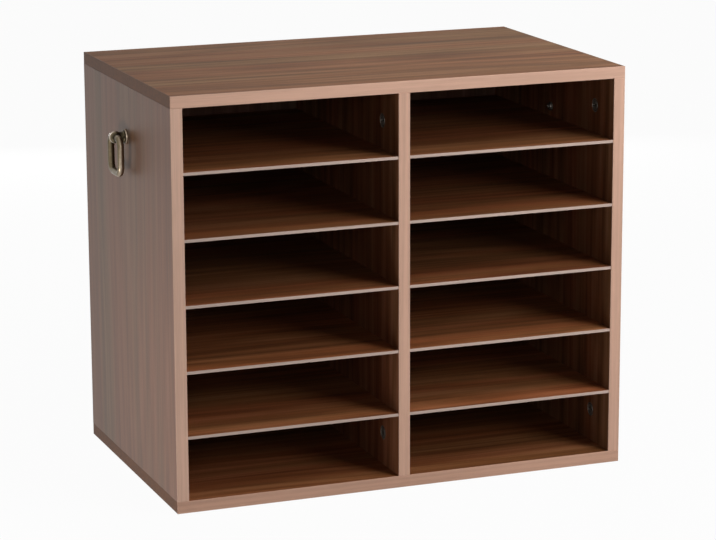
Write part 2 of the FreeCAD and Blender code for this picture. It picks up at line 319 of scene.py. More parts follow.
def open_socket(sockets, name):
    return next(socket for socket in sockets if socket.name == name and socket.enabled)


def set_ramp(ramp, stops):
    """Gives a colour ramp its stops, in order of position."""
    first, *between, last = stops
    for element, (position, tint) in ((ramp.elements[0], first), (ramp.elements[-1], last)):
        element.position = position
        element.color = tint
    for position, tint in between:
        ramp.elements.new(position).color = tint


def opaque(tint, strength=1.0):
    """A colour for a socket, darkened or lightened by a strength."""
    return (*(min(1.0, part * strength) for part in tint), 1.0)


class Finish(Graph):
    """A material: one Principled surface and the nodes that paint it."""

    def __init__(self, name):
        self.material = bpy.data.materials.new(name)
        super().__init__(cleared_tree(self.material))
        self.place = self.node("ShaderNodeTexCoord", output="Object")

    def place_x(self):
        """The place's X. Its Y and Z are other outputs of the same node."""
        return self.node("ShaderNodeSeparateXYZ", {"Vector": self.place})

    def wear(self):
        """How far a mesh's vertices are rubbed, 0 to 1."""
        return self.node("ShaderNodeAttribute", output="Fac", attribute_name="wear")

    def surface(self, inputs, height, relief):
        """Ends the material. height is in 0..1 and stands up by relief metres."""
        bump = {"Strength": 1.0, "Distance": relief, "Height": height}
        normal = self.node("ShaderNodeBump", bump)
        shader = self.node("ShaderNodeBsdfPrincipled", {**inputs, "Normal": normal})
        self.node("ShaderNodeOutputMaterial", {"Surface": shader})
        return self.material


# --- Wood -------------------------------------------------------------------------------
def along_grain(finish, grain_axis, shift):
    """Position with its first part along the grain, moved to a fresh part of the pattern."""
    x = finish.place_x()
    order = {"X": "XYZ", "Z": "ZYX"}[grain_axis]
    swapped = finish.combined(**{axis: x.other(from_axis) for axis, from_axis in zip("XYZ", order)})
    return finish.vector("ADD", swapped, shift)


def walnut_figure(finish, boards, grain_axis, shift, contrast):
    """Colour, height and sheen of walnut: wandering streaks, contour rings and short pores."""
    grain = along_grain(finish, grain_axis, shift)
    wander = finish.noise(grain, 1.7, 8.0, detail=1.0) * 0.035
    bent = finish.vector("ADD", grain, finish.combined(Y=wander, Z=wander))
    hills = finish.noise(bent, 0.8, 6.5, detail=0.0) * 15.0
    rings = finish.maths("PINGPONG", hills, 0.5) * 2.0
    streaks = finish.noise(bent, 2.4, 1.0 / boards.streak_width, detail=3.0, roughness=0.6)
    fibres = finish.noise(grain, 11.0, 640.0, roughness=0.6)
    pore_rows = finish.noise(grain, 1.0 / boards.pore_length, 1500.0, detail=1.0)
    pores = pore_rows.ramped(0.60, 0.74)
    tone = (rings * 0.10 + streaks * 0.68 + fibres * 0.22 - 0.5) * contrast + 0.5
    wood = finish.ramp(
        tone, (0.34, opaque(boards.walnut_dark)), (0.50, opaque(boards.walnut_brown)),
        (0.66, opaque(boards.walnut_light)),
    )
    cast = finish.mixed(
        finish.noise(bent, 1.1, 21.0, detail=1.0).ramped(0.35, 0.65),
        (1.08, 0.95, 0.90, 1.0), (0.93, 1.02, 0.97, 1.0),
    )
    wood = finish.mixed(pores * 0.45, finish.tinted(wood, cast), opaque(boards.walnut_dark))
    height = fibres * 0.5 - pores * 0.5 + 0.5
    return wood, height, fibres


def raw_fibreboard(finish, boards):
    """Bare fibreboard: fine pale fibres with a few dark flecks."""
    felt = finish.noise(finish.place, 900.0, detail=3.0, roughness=0.7)
    flecks = finish.noise(finish.place, 420.0, detail=1.0).ramped(0.64, 0.72)
    dark = 0.62
    board = finish.toned(felt.ramped(0.3, 0.7), boards.raw_board, dark, 1.18)
    return finish.mixed(flecks * 0.5, board, opaque(boards.raw_board, dark))


def walnut_board(name, boards, grain_axis, shift, outer, inner, coat=0.0):
    """Foil on the faces, a fine dark line at each joint, and bare board at the rear edge.

    outer and inner are the tint and contrast of the foil outside and in the compartments. Their tints are
    lit and shaded copies of one foil: painted light and shade.
    """
    finish = Finish(name)
    across = finish.place_x()
    depth, level = across.other("Y"), across.other("Z")
    if grain_axis == "X":
        outside = level.near(top_face, 0.0005)
    else:
        outside = finish.maths("ABSOLUTE", across).near(side_face, 0.0005)
    contrast = outside * (outer[1] - inner[1]) + inner[1]
    wood, height, fibres = walnut_figure(finish, boards, grain_axis, shift, contrast)
    # Painted light and shade: outer and inner faces get differently tinted copies of the same foil.
    wood = finish.tinted(wood, finish.mixed(outside, opaque(inner[0]), opaque(outer[0])))
    seams = depth.near(strip_back, -0.0005)
    if grain_axis == "Z":
        seams = seams + level.near(ceiling, 0.0006) + level.near(floor_board_top, -0.0006)
    seamed = finish.mixed(
        finish.maths("MINIMUM", seams, 1.0) * 0.6, wood, opaque(boards.walnut_dark)
    )
    bare = depth.near(rear_edge, 0.0003)
    return finish.surface({
        "Base Color": finish.mixed(bare, seamed, raw_fibreboard(finish, boards)),
        "Roughness": 0.46 + fibres * 0.14 + bare * 0.3,
        "Specular IOR Level": 0.05,
        "Coat Weight": outside * coat if coat else 0.0,
        "Coat Roughness": 0.42,
    }, height, 0.00008)


def shelf_board(name, boards, tint, strips):
    """Foil above and below, and a pale strip along the front edge."""
    finish = Finish(name)
    wood, height, fibres = walnut_figure(finish, boards, "X", (0.37, 1.9, 0.0), 0.8)
    wood = finish.tinted(wood, opaque(tint))
    edge = finish.place_x().other("Y").near(shelf_front, -0.00035)
    pale = finish.noise(finish.place, 6.0, 300.0).ramped(0.3, 0.7)
    lip = finish.toned(pale, strips.shelf_edge, 0.86)
    return finish.surface({
        "Base Color": finish.mixed(edge, wood, lip),
        "Roughness": 0.46 + fibres * 0.14,
        "Specular IOR Level": 0.10,
    }, height, 0.00006)


def back_board(boards):
    """Foil inside the compartments and bare brown hardboard outside. The foil's darker, bluer tint is
    painted shade and painted haze.
    """
    finish = Finish("walnut_back")
    wood, height, fibres = walnut_figure(finish, boards, "Z", (0.9, 0.0, 2.3), 0.7)
    # Painted shade and haze: the foil is tinted darker and bluer here.
    wood = finish.tinted(wood, opaque(boards.back_tint))
    outside = finish.place_x().other("Y").near(back_outer_face, 0.0004)
    felt = finish.noise(finish.place, 700.0, detail=4.0, roughness=0.7)
    clouds = finish.noise(finish.place, 9.0, detail=3.0)
    patches = felt.ramped(0.32, 0.68) * 0.6 + clouds.ramped(0.35, 0.65) * 0.4
    bare = finish.toned(patches, boards.hardboard, 0.72, 1.22)
    return finish.surface({
        "Base Color": finish.mixed(outside, wood, bare),
        "Roughness": 0.46 + fibres * 0.12 + outside * 0.2,
        "Specular IOR Level": 0.22,
    }, height * (1 - outside) + felt * outside, 0.00006)


def edge_strip(name, tint, grain_axis, contrast, shift, gloss=0.25):
    """Thin strip with fine straight grain in one tint."""
    finish = Finish(name)
    grain = along_grain(finish, grain_axis, shift)
    streaks = finish.noise(grain, 3.5, 260.0, detail=3.0, roughness=0.6)
    clouds = finish.noise(grain, 5.0, 30.0)
    fibres = finish.noise(grain, 45.0, 1400.0, detail=1.0)
    tone = (streaks * 0.5 + clouds * 0.3 + fibres * 0.2).ramped(0.36, 0.62)
    dark = 1 - contrast
    wood = finish.toned(tone, tint, dark, 1 + contrast * 0.7)
    wood = finish.mixed(fibres.ramped(0.62, 0.74) * 0.25, wood, opaque(tint, dark))
    return finish.surface({
        "Base Color": wood,
        "Roughness": 0.46 + fibres * 0.12,
        "Specular IOR Level": gloss,
    }, fibres, 0.00005)


def beech_dowel(fittings):
    finish = Finish("beech")
    grain = along_grain(finish, "Z", (0.0, 0.0, 0.0))
    flecks = finish.noise(grain, 160.0, 900.0).ramped(0.55, 0.75)
    bands = finish.noise(grain, 18.0, 420.0)
    dark = 0.66
    wood = finish.toned(bands.ramped(0.3, 0.7), fittings.beech, dark)
    return finish.surface({
        "Base Color": finish.mixed(flecks * 0.4, wood, opaque(fittings.beech, dark)),
        "Roughness": 0.55 + bands * 0.15,
    }, bands, 0.00005)


# --- Metal ------------------------------------------------------------------------------
def cast_zinc(fittings):
    """Dull, slightly grainy casting, darker in its recesses."""
    finish = Finish("cast_zinc")
    grit = finish.noise(finish.place, 1800.0)
    metal = finish.toned(finish.wear() * 0.8 + grit * 0.2, fittings.zinc, 0.45)
    return finish.surface({
        "Base Color": metal, "Metallic": 1.0, "Roughness": 0.52 + grit * 0.2,
    }, grit, 0.00003)


def plated_steel(fittings):
    finish = Finish("plated_steel")
    scratches = finish.noise(finish.place, 260.0, 2600.0, 900.0, detail=3.0, roughness=0.6)
    metal = finish.toned(scratches.ramped(0.3, 0.7), fittings.steel, 0.7)
    return finish.surface({
        "Base Color": metal, "Metallic": 1.0, "Roughness": 0.42 + scratches * 0.16,
    }, scratches, 0.00002)


def antique_brass(handles):
    """Aged brass: patina in the recesses, rubbed bright on the ridges."""
    finish = Finish("antique_brass")
    blotches = finish.noise(finish.place, 260.0, detail=3.0, roughness=0.6)
    specks = finish.noise(finish.place, 1500.0)
    rubbed = finish.wear() * 0.75 + blotches * 0.35 + specks * 0.12 - 0.12
    metal = finish.ramp(
        rubbed, (0.12, opaque(handles.patina)), (0.52, opaque(handles.brass)),
        (0.92, opaque(handles.worn_brass)),
    )
    return finish.surface({
        "Base Color": metal, "Metallic": 1.0, "Roughness": 0.46 - rubbed * 0.2,
    }, specks + blotches, 0.00003)


# --- Meshes -----------------------------------------------------------------------------
def add_object(name, data):
    item = bpy.data.objects.new(name, data)
    bpy.context.scene.collection.objects.link(item)
    return item


def smoothed(mesh, crease=usual_crease):
    """The mesh, smooth except across creases."""
    mesh.shade_smooth()
    mesh.set_sharp_from_angle(angle=crease)
    return mesh


def finished_mesh(name, shape, crease=usual_crease):
    """Turns a bmesh into a smooth mesh with its faces outwards."""
    bmesh.ops.recalc_face_normals(shape, faces=shape.faces)
    mesh = bpy.data.meshes.new(name)
    shape.to_mesh(mesh)
    shape.free()
    return smoothed(mesh, crease)


def skin(shape, loops, closed):
    """Adds the faces between loops of vertices. A loop of one vertex gets a fan."""
    segments = max(len(loop) for loop in loops)
    pairs = list(zip(loops, loops[1:]))
    if closed:
        pairs.append((loops[-1], loops[0]))
    for first, second in pairs:
        for index in range(segments):
            after = (index + 1) % segments
            corners = (first[index % len(first)], first[after % len(first)],
                       second[after % len(second)], second[index % len(second)])
            shape.faces.new(list(dict.fromkeys(corners)))


def turn(shape, profile, segments=48, closed=False):
    """Adds a solid turned about the X axis, and gives its vertices.

    profile lists (distance, radius, wear) points.
    """
    wear = shape.verts.layers.float.get("wear") or shape.verts.layers.float.new("wear")
    loops = []
    for distance, radius, rubbed in profile:
        loop = []
        for index in range(segments if radius > 0.0 else 1):
            angle = 2 * math.pi * index / segments
            vertex = shape.verts.new((distance, radius * math.cos(angle), radius * math.sin(angle)))
            vertex[wear] = rubbed
            loop.append(vertex)
        loops.append(loop)
    skin(shape, loops, closed)
    return [vertex for loop in loops for vertex in loop]


def turned_mesh(name, profile, segments=48, closed=False):
    shape = bmesh.new()
    turn(shape, profile, segments, closed)
    return finished_mesh(name, shape)


def swing(shape, points, degrees, axis):
    """Swings points about an axis through the origin."""
    bmesh.ops.rotate(shape, verts=points, matrix=Matrix.Rotation(math.radians(degrees), 3, axis))


def cross_cutter(name, span, width, depth, taper):
    """A driver cross that narrows as it goes in, for cutting into a face at X = 0."""
    shape = bmesh.new()
    half, arm = width / 2, span / 2
    corner = ((arm, half), (half, half), (half, arm))
    outline = [*corner, *((-y, z) for y, z in reversed(corner)),
               *((-y, -z) for y, z in corner), *((y, -z) for y, z in reversed(corner))]
    above = [shape.verts.new((depth * 0.4, y, z)) for y, z in outline]
    below = [shape.verts.new((-depth, y * taper, z * taper)) for y, z in outline]
    add_walls(shape, above, below)
    return finished_mesh(name, shape)


def add_walls(shape, above, below):
    """Closes two matching outlines into a solid."""
    shape.faces.new(above)
    shape.faces.new(list(reversed(below)))
    for index in range(len(above)):
        after = (index + 1) % len(above)
        shape.faces.new((above[index], below[index], below[after], above[after]))


def carved(mesh, cutter):
    """The mesh with the cutter's shape taken out of it."""
    body = add_object(mesh.name + "_body", mesh)
    tool = add_object(mesh.name + "_tool", cutter)
    cut = body.modifiers.new("Cut", "BOOLEAN")
    cut.operation = "DIFFERENCE"
    cut.solver = "EXACT"
    cut.object = tool
    made = evaluated_mesh(body, mesh.name + "_carved")
    for item in (body, tool):
        bpy.data.objects.remove(item)
    return smoothed(made)


def evaluated_mesh(carrier, name):
    """A plain copy of what an object's modifiers make of it."""
    bpy.context.view_layer.update()
    graph = bpy.context.evaluated_depsgraph_get()
    made = bpy.data.meshes.new_from_object(
        carrier.evaluated_get(graph), preserve_all_data_layers=True, depsgraph=graph
    )
    made.name = name
    return made


def add_piece(name, mesh, body, stands_for, material=None):
    """Puts a finished mesh on a body, in place of the solids that it stands for."""
    piece = add_object(name, mesh)
    if material:
        mesh.materials.clear()
        mesh.materials.append(material)
    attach(piece, body)
    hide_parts(*stands_for)


def paint(node, material):
    """Gives a solid that stays as it is its finish."""
    for slot in cad[node].material_slots:
        slot.material = material


# --- Rows of fittings, by Geometry Nodes ------------------------------------------------
def new_geometry_tree(name, sockets):
    """A geometry tree's graph and the signals of its inputs, which sockets names by type."""
    tree = bpy.data.node_groups.new(name, "GeometryNodeTree")
    tree.interface.new_socket(name="Geometry", in_out="OUTPUT", socket_type="NodeSocketGeometry")
    for label, kind in sockets.items():
        tree.interface.new_socket(name=label, in_out="INPUT", socket_type="NodeSocket" + kind)
    graph = Graph(tree)
    source = tree.nodes.new("NodeGroupInput")
    return graph, {label: Signal(graph, source.outputs[label]) for label in sockets}


def block_of_points():
    """Node group: points in equal steps along three directions."""
    graph, given = new_geometry_tree("Block of Points", {
        "Start": "Vector", "Step A": "Vector", "Count A": "Int", "Step B": "Vector",
        "Count B": "Int", "Step C": "Vector", "Count C": "Int",
    })
    points = graph.node("GeometryNodeMeshLine", {
        "Count": given["Count A"], "Start Location": given["Start"], "Offset": given["Step A"],
    }, mode="OFFSET")
    for letter in "BC":
        line = graph.node("GeometryNodeMeshLine", {
            "Count": given["Count " + letter], "Offset": given["Step " + letter],
        }, mode="OFFSET")
        lines = graph.node("GeometryNodeInstanceOnPoints", {"Points": points, "Instance": line})
        points = graph.node("GeometryNodeRealizeInstances", {"Geometry": lines})
    graph.node("NodeGroupOutput", {"Geometry": points})
    return graph.tree


def points_in(graph, block, inputs):
    return graph.node("GeometryNodeGroup", inputs, node_tree=block)


def turned_copies(graph, points, piece, **angles):
    """Copies of a piece on points, turned about the axes by the angles given."""
    turning = graph.node("FunctionNodeEulerToRotation", {"Euler": graph.combined(**angles)})
    return graph.node("GeometryNodeInstanceOnPoints", {
        "Points": points, "Instance": piece, "Rotation": turning,
    })


def finish_tree(graph, parts, material):
    """Joins sets of instances, makes them real and gives them their material."""
    joined = graph.tree.nodes.new("GeometryNodeJoinGeometry")
    for part in parts:
        graph.tree.links.new(part.socket, joined.inputs[0])
    joined_parts = Signal(graph, joined.outputs[0])
    real = graph.node("GeometryNodeRealizeInstances", {"Geometry": joined_parts})
    painted = graph.node("GeometryNodeSetMaterial", {"Geometry": real, "Material": material})
    graph.node("NodeGroupOutput", {"Geometry": painted})
    return graph.tree


def cam_lock_tree(block):
    """Cam locks at both ends of an upright, each with its arrow towards the nearer board."""
    graph, given = new_geometry_tree("Cam Locks", {
        "Geometry": "Geometry", "Top Front Cam": "Vector", "Bottom Front Cam": "Vector",
        "Depth Spacing": "Float", "Turn": "Float", "Material": "Material",
    })
    sets = []
    for label, flip in (("Top Front Cam", 0.0), ("Bottom Front Cam", math.pi)):
        points = points_in(graph, block, {
            "Start": given[label], "Step A": graph.combined(Y=given["Depth Spacing"]),
            "Count A": depth_count, "Count B": 1, "Count C": 1,
        })
        sets.append(turned_copies(graph, points, given["Geometry"], X=flip, Z=given["Turn"]))
    return finish_tree(graph, sets, given["Material"])


def panel_nail_tree(block):
    """Nails up each upright and along the top and bottom, each turned its own way."""
    graph, given = new_geometry_tree("Panel Nails", {
        "Geometry": "Geometry", "First Upright Nail": "Vector", "Upright Spacing": "Float",
        "Row Spacing": "Float", "Rows": "Int", "First End Nail": "Vector",
        "Nail Spacing": "Float", "Nails per Column": "Int", "Column Spacing": "Float",
        "End Spacing": "Float", "Turn Seed": "Int", "Material": "Material",
    })
    up_uprights = points_in(graph, block, {
        "Start": given["First Upright Nail"],
        "Step A": graph.combined(X=given["Upright Spacing"]), "Count A": len(uprights),
        "Step B": graph.combined(Z=given["Row Spacing"]), "Count B": given["Rows"],
        "Count C": 1,
    })
    along_ends = points_in(graph, block, {
        "Start": given["First End Nail"],
        "Step A": graph.combined(X=given["Nail Spacing"]), "Count A": given["Nails per Column"],
        "Step B": graph.combined(X=given["Column Spacing"]), "Count B": column_count,
        "Step C": graph.combined(Z=given["End Spacing"]), "Count C": end_count,
    })
    turns = graph.node("FunctionNodeRandomValue", {
        "Min": 0.0, "Max": 2 * math.pi, "Seed": given["Turn Seed"],
    }, data_type="FLOAT")
    sets = [turned_copies(graph, points, given["Geometry"], Y=turns)
            for points in (up_uprights, along_ends)]
    return finish_tree(graph, sets, given["Material"])


def joint_fitting_tree(block):
    """Bolts or dowels: one row across the uprights for each place in depth."""
    graph, given = new_geometry_tree("Joint Fittings", {
        "Geometry": "Geometry", "First Fitting": "Vector", "Upright Spacing": "Float",
        "Depth Spacing": "Float", "Tip Over": "Float", "Material": "Material",
    })
    points = points_in(graph, block, {
        "Start": given["First Fitting"],
        "Step A": graph.combined(X=given["Upright Spacing"]), "Count A": len(uprights),
        "Step B": graph.combined(Y=given["Depth Spacing"]), "Count B": depth_count,
        "Count C": 1,
    })
    copies = turned_copies(graph, points, given["Geometry"], X=given["Tip Over"])
    return finish_tree(graph, [copies], given["Material"])


def made_by_nodes(name, mesh, tree, values):
    """The plain mesh that a geometry tree makes from one fitting."""
    carrier = add_object(name + "_carrier", mesh)
    copies = carrier.modifiers.new("Copies", "NODES")
    copies.node_group = tree
    for item in tree.interface.items_tree:
        if item.in_out == "INPUT" and item.name in values:
            copies[item.identifier] = values[item.name]
    made = evaluated_mesh(carrier, name)
    bpy.data.objects.remove(carrier)
    return made


def shared_block():
    return bpy.data.node_groups.get("Block of Points") or block_of_points()


# --- Single fittings --------------------------------------------------------------------
def cam_lock(fittings):
    """A cam whose face is at X = 0, with rim, groove, arrow and driver cross."""
    radius, low = fittings.cam_diameter / 2, -cam_depth
    rim, hub = radius - fittings.cam_rim, radius * 0.66
    floor = -fittings.cam_groove
    arrow = 0.0013
    plain = turned_mesh("cam_lock", (
        (low, 0.0, 0.2), (low, radius - 0.0003, 0.2), (low + 0.0003, radius, 0.2),
        (-0.0004, radius, 0.3), (-0.0001, radius - 0.00015, 0.9), (0.0, radius - 0.0004, 1.0),
        (0.0, rim, 1.0), (floor, rim - 0.00025, 0.0), (floor, hub + 0.00025, 0.0),
        (0.0, hub, 1.0), (0.0, 0.0, 0.8),
    ))
    cutter = cross_cutter("cam_cross", span=0.008, width=0.0014, depth=0.0015, taper=0.85)
    shape = bmesh.new()
    shape.from_mesh(carved(plain, cutter))
    wear = shape.verts.layers.float["wear"]
    corners = ((-arrow, hub + 0.0002), (arrow, hub + 0.0002), (0.0, rim - 0.0002))
    face = [shape.verts.new((-0.00005, y, z)) for y, z in corners]
    foot = [shape.verts.new((floor - 0.0001, y, z)) for y, z in corners]
    for vertex in face:
        vertex[wear] = 1.0
    add_walls(shape, face, foot)
    return finished_mesh("cam_lock_with_arrow", shape)


def panel_nail(fittings):
    """A nail along Y whose head's underside is at Y = 0, pointing to -Y."""
    head, long = fittings.nail_head / 2, fittings.nail_length
    shank, point, thick = 0.0007, 0.0016, 0.0005
    dome = min(fittings.nail_dome, thick * 0.4)
    shape = bmesh.new()
    points = turn(shape, (
        (-long, 0.0, 0.5), (-long + point, shank, 0.5), (0.0, shank, 0.2), (0.0, head, 0.3),
        (thick - dome - 0.0001, head, 0.6), (thick - dome, head - 0.0001, 1.0),
        (thick - dome * 0.4, head * 0.6, 1.0), (thick, 0.0, 0.9),
    ), segments=14)
    swing(shape, points, 90, "Z")
    return finished_mesh("panel_nail", shape)


def cam_bolt(radius, height):
    """A bolt along Z with rolled threads, seated on Z = 0, its head hanging down to -height."""
    head_thick, neck, body, root = 0.0030, 0.0018, radius - 0.0001, radius * 0.8
    low, ridges, pitch, thread_end = -height, 9, 0.00095, 0.009
    profile = [(low, 0.0, 0.6), (low, radius - 0.0004, 0.6), (low + 0.0004, radius, 0.8),
               (low + head_thick - 0.0004, radius, 0.6), (low + head_thick, neck, 0.3),
               (low + 0.0095, neck, 0.3), (low + 0.0098, body, 0.6), (0.0, body, 0.6)]
    for ridge in range(ridges):
        start = 0.0003 + ridge * pitch
        profile += [(start, root, 0.2), (start + 0.00045, radius, 0.9)]
    profile += [(thread_end - 0.0002, root, 0.3), (thread_end, 0.0, 0.5)]
    shape = bmesh.new()
    swing(shape, turn(shape, profile, segments=20), -90, "Y")
    return finished_mesh("cam_bolt", shape)


def fluted_dowel(radius, flutes, height, above):
    """A beech dowel along Z with pressed flutes, standing above Z = 0 by the given length."""
    low, chamfer, tip, flute_depth = above - height, 0.0008, radius - 0.0008, 0.93
    shape = bmesh.new()
    segments = flutes * 2
    points = turn(shape, (
        (low, 0.0, 0.5), (low, tip, 0.5), (low + chamfer, radius, 0.5),
        (above - chamfer, radius, 0.5), (above, tip, 0.5), (above, 0.0, 0.5),
    ), segments=segments)
    for loop_start in (1 + segments, 1 + 2 * segments):
        for vertex in points[loop_start:loop_start + segments:2]:
            vertex.co.y *= flute_depth
            vertex.co.z *= flute_depth
    swing(shape, points, -90, "Y")
    return finished_mesh("fluted_dowel", shape, crease=math.radians(20))


# --- Ring handles -----------------------------------------------------------------------
def rosette(thickness, radius, collar):
    """A thick round plate on a side's outer face, with a bead round the post's collar."""
    t, r, seat, hole = thickness, radius, collar - 0.0003, 0.0021
    return turned_mesh("rosette", (
        (0.0, hole, 0.1), (0.0, r - 0.0002, 0.1), (0.0002, r, 0.5), (t * 0.30, r, 1.0),
        (t * 0.62, r - 0.00005, 1.0), (t * 0.78, r - 0.0002, 0.7), (t * 0.86, r - 0.0005, 0.2),
        (t * 0.84, r - 0.0008, 0.0), (t * 0.74, r - 0.0011, 0.0), (t * 0.72, seat, 0.0),
        (t, seat - 0.0004, 0.0), (t, hole, 0.1),
    ), segments=64, closed=True)


def handle_post(base, standoff, ball, eye, collar, neck):
    """A collar, waisted neck and bored ball, standing out along X from the rosette.

    The last four numbers are radii.
    """
    shape = bmesh.new()
    sunk, steps = 0.0004, 24
    end = standoff - math.sqrt(ball ** 2 - neck ** 2) + sunk
    span = end - base
    turn(shape, (
        (base, 0.0, 0.1), (base, collar - 0.0002, 0.0), (base + 0.0002, collar, 0.1),
        (base + 0.0007, collar, 0.3), (base + 0.0010, collar - 0.0002, 0.2),
        (base + 0.0012, collar - 0.0006, 0.2), (base + span * 0.42, neck - 0.0001, 0.0),
        (base + span * 0.66, neck - 0.0003, 0.1), (end, neck, 0.2), (end, 0.0, 0.1),
    ))
    bore_end = math.sqrt(ball ** 2 - eye ** 2)
    start = math.asin(eye / ball)
    profile = []
    for step in range(steps + 1):
        angle = start + (math.pi - 2 * start) * step / steps
        rubbed = 0.05 + 0.90 * math.sin(angle) ** 8
        profile.append((-ball * math.cos(angle), ball * math.sin(angle), rubbed))
    profile[0] = (-bore_end + 0.0001, eye + 0.00035, 0.6)
    profile[-1] = (bore_end - 0.0001, eye + 0.00035, 0.6)
    profile += [(bore_end - 0.0004, eye, 0.1), (-bore_end + 0.0004, eye, 0.1)]
    points = turn(shape, profile, closed=True)
    swing(shape, points, 90, "Z")
    bmesh.ops.translate(shape, verts=points, vec=(standoff, 0.0, 0.0))
    return finished_mesh("handle_post", shape)


def loop_path(handles):
    """Points and directions round the hanging loop, in Y and Z from the middle of its top bar."""
    half, low, steps = handles.width / 2, -handles.height, 12
    corners = (
        ((half, 0.0), handles.top_bend, 90.0), ((-half, 0.0), handles.top_bend, 180.0),
        ((-half, low), handles.bottom_bend, 270.0), ((half, low), handles.bottom_bend, 0.0),
    )
    path = []
    for (y, z), bend, arrival in corners:
        centre_y = y - math.copysign(bend, y)
        centre_z = z - bend if z == 0.0 else z + bend
        first = arrival - 90.0
        for step in range(steps + 1):
            angle = math.radians(first + 90.0 * step / steps)
            path.append((
                centre_y + bend * math.cos(angle), centre_z + bend * math.sin(angle), angle,
            ))
    return path


def ring(handles, standoff):
    """Round wire bent into a closed loop that hangs at a distance from the side."""
    radius, segments = handles.wire / 2, 24
    shape = bmesh.new()
    wear = shape.verts.layers.float.new("wear")
    loops = []
    for y, z, angle in loop_path(handles):
        loop = []
        for index in range(segments):
            around = 2 * math.pi * index / segments
            out = radius * math.cos(around)
            vertex = shape.verts.new((
                standoff + radius * math.sin(around),
                y + out * math.cos(angle), z + out * math.sin(angle),
            ))
            low = max(0.0, min(1.0, -z / handles.height))
            vertex[wear] = 0.30 + 0.20 * low + 0.40 * max(0.0, math.cos(around)) ** 2
            loop.append(vertex)
        loops.append(loop)
    skin(shape, loops, closed=True)
    return finished_mesh("ring", shape, crease=math.radians(60))


def washer(size):
    radius, thick, hole = size.y / 2, size.x, 0.0022
    return turned_mesh("washer", (
        (0.0, hole, 0.3), (0.0, radius - 0.0001, 0.6), (0.0001, radius, 0.9),
        (thick - 0.0002, radius, 1.0), (thick, radius - 0.0002, 1.0), (thick, hole, 0.5),
    ), segments=40, closed=True)


def pan_screw(size):
    """A pan-head screw along X, its crown at X = 0 and its tip at -size.x."""
    head, crown, bore, pitch = size.y / 2, 0.0026, 0.0020, 0.0007
    profile = [(0.0, 0.0, 0.8), (-0.00005, head * 0.40, 0.9), (-0.0003, head * 0.68, 1.0),
               (-0.0008, head * 0.88, 1.0), (-0.0014, head * 0.98, 0.8), (-0.0020, head, 0.7),
               (-crown + 0.0001, head, 0.4), (-crown, head - 0.0001, 0.2), (-crown, bore, 0.1)]
    start, end = -crown - 0.003, -size.x + 0.0008
    ridges = int((start - end) / pitch)
    profile.append((start, bore, 0.3))
    for ridge in range(ridges):
        place = start - (ridge + 0.5) * pitch
        profile += [(place, bore * 0.80, 0.2), (place - pitch * 0.45, bore, 0.9)]
    profile += [(-size.x + 0.0003, bore * 0.75, 0.4), (-size.x, 0.0, 0.4)]
    cutter = cross_cutter("screw_cross", span=0.0044, width=0.0010, depth=0.0013, taper=0.55)
    return carved(turned_mesh("pan_screw", profile, segments=32), cutter)


def put_on_side(mesh, hand, x, z, inward=False):
    """Moves a piece made along +X to a place on the left (-1) or right (1) side."""
    faces_left = (hand < 0) != inward
    half_turn = Matrix.Rotation(math.pi if faces_left else 0.0, 4, "Z")
    mesh.transform(Matrix.Translation((x, 0.0, z)) @ half_turn)
    return mesh


# --- Operators --------------------------------------------------------------------------
class MAILSORTER_OT_boards(bpy.types.Operator):
    """Face the top, bottom, sides and divider with walnut foil"""

    bl_idname = "mail_sorter.boards"
    bl_label = "Walnut Boards"

    def execute(self, context):
        boards = context.scene.mail_sorter_boards
        level = walnut_board(
            "walnut_level", boards, "X", (0.0, 0.0, 0.0),
            outer=(boards.top_tint, 0.90), inner=(boards.floor_tint, 0.75),
        )
        upright = walnut_board(
            "walnut_upright", boards, "Z", (0.6, 3.1, 0.0),
            outer=(boards.side_tint, 0.45), inner=(boards.wall_tint, 0.75), coat=boards.side_coat,
        )
        for node in ("top_panel", "bottom_panel"):
            paint(node, level)
        for node in uprights:
            paint(node, upright)
        return {"FINISHED"}


class MAILSORTER_OT_shelves(bpy.types.Operator):
    """Face the ten thin shelves with foil and give them their pale front edge. The lower shelves get a
    lighter copy of the foil as painted light
    """

    bl_idname = "mail_sorter.shelves"
    bl_label = "Shelves"

    def execute(self, context):
        boards = context.scene.mail_sorter_boards
        strips = context.scene.mail_sorter_strips
        upper = shelf_board("walnut_upper_shelf", boards, boards.shelf_tint, strips)
        lower = shelf_board("walnut_lower_shelf", boards, boards.low_tint, strips)
        # Shelves below this level get the lighter copy of the foil: painted light on the lower rows.
        painted_light_below = (floor_board_top + ceiling - shelf_pitch) / 2
        for node in cad:
            if "_shelf_" in node:
                paint(node, lower if middle_of(node).z < painted_light_below else upper)
        return {"FINISHED"}


class MAILSORTER_OT_back(bpy.types.Operator):
    """Face the back panel with foil inside and leave bare hardboard outside"""

    bl_idname = "mail_sorter.back"
    bl_label = "Back Panel"

    def execute(self, context):
        paint("back_panel", back_board(context.scene.mail_sorter_boards))
        return {"FINISHED"}


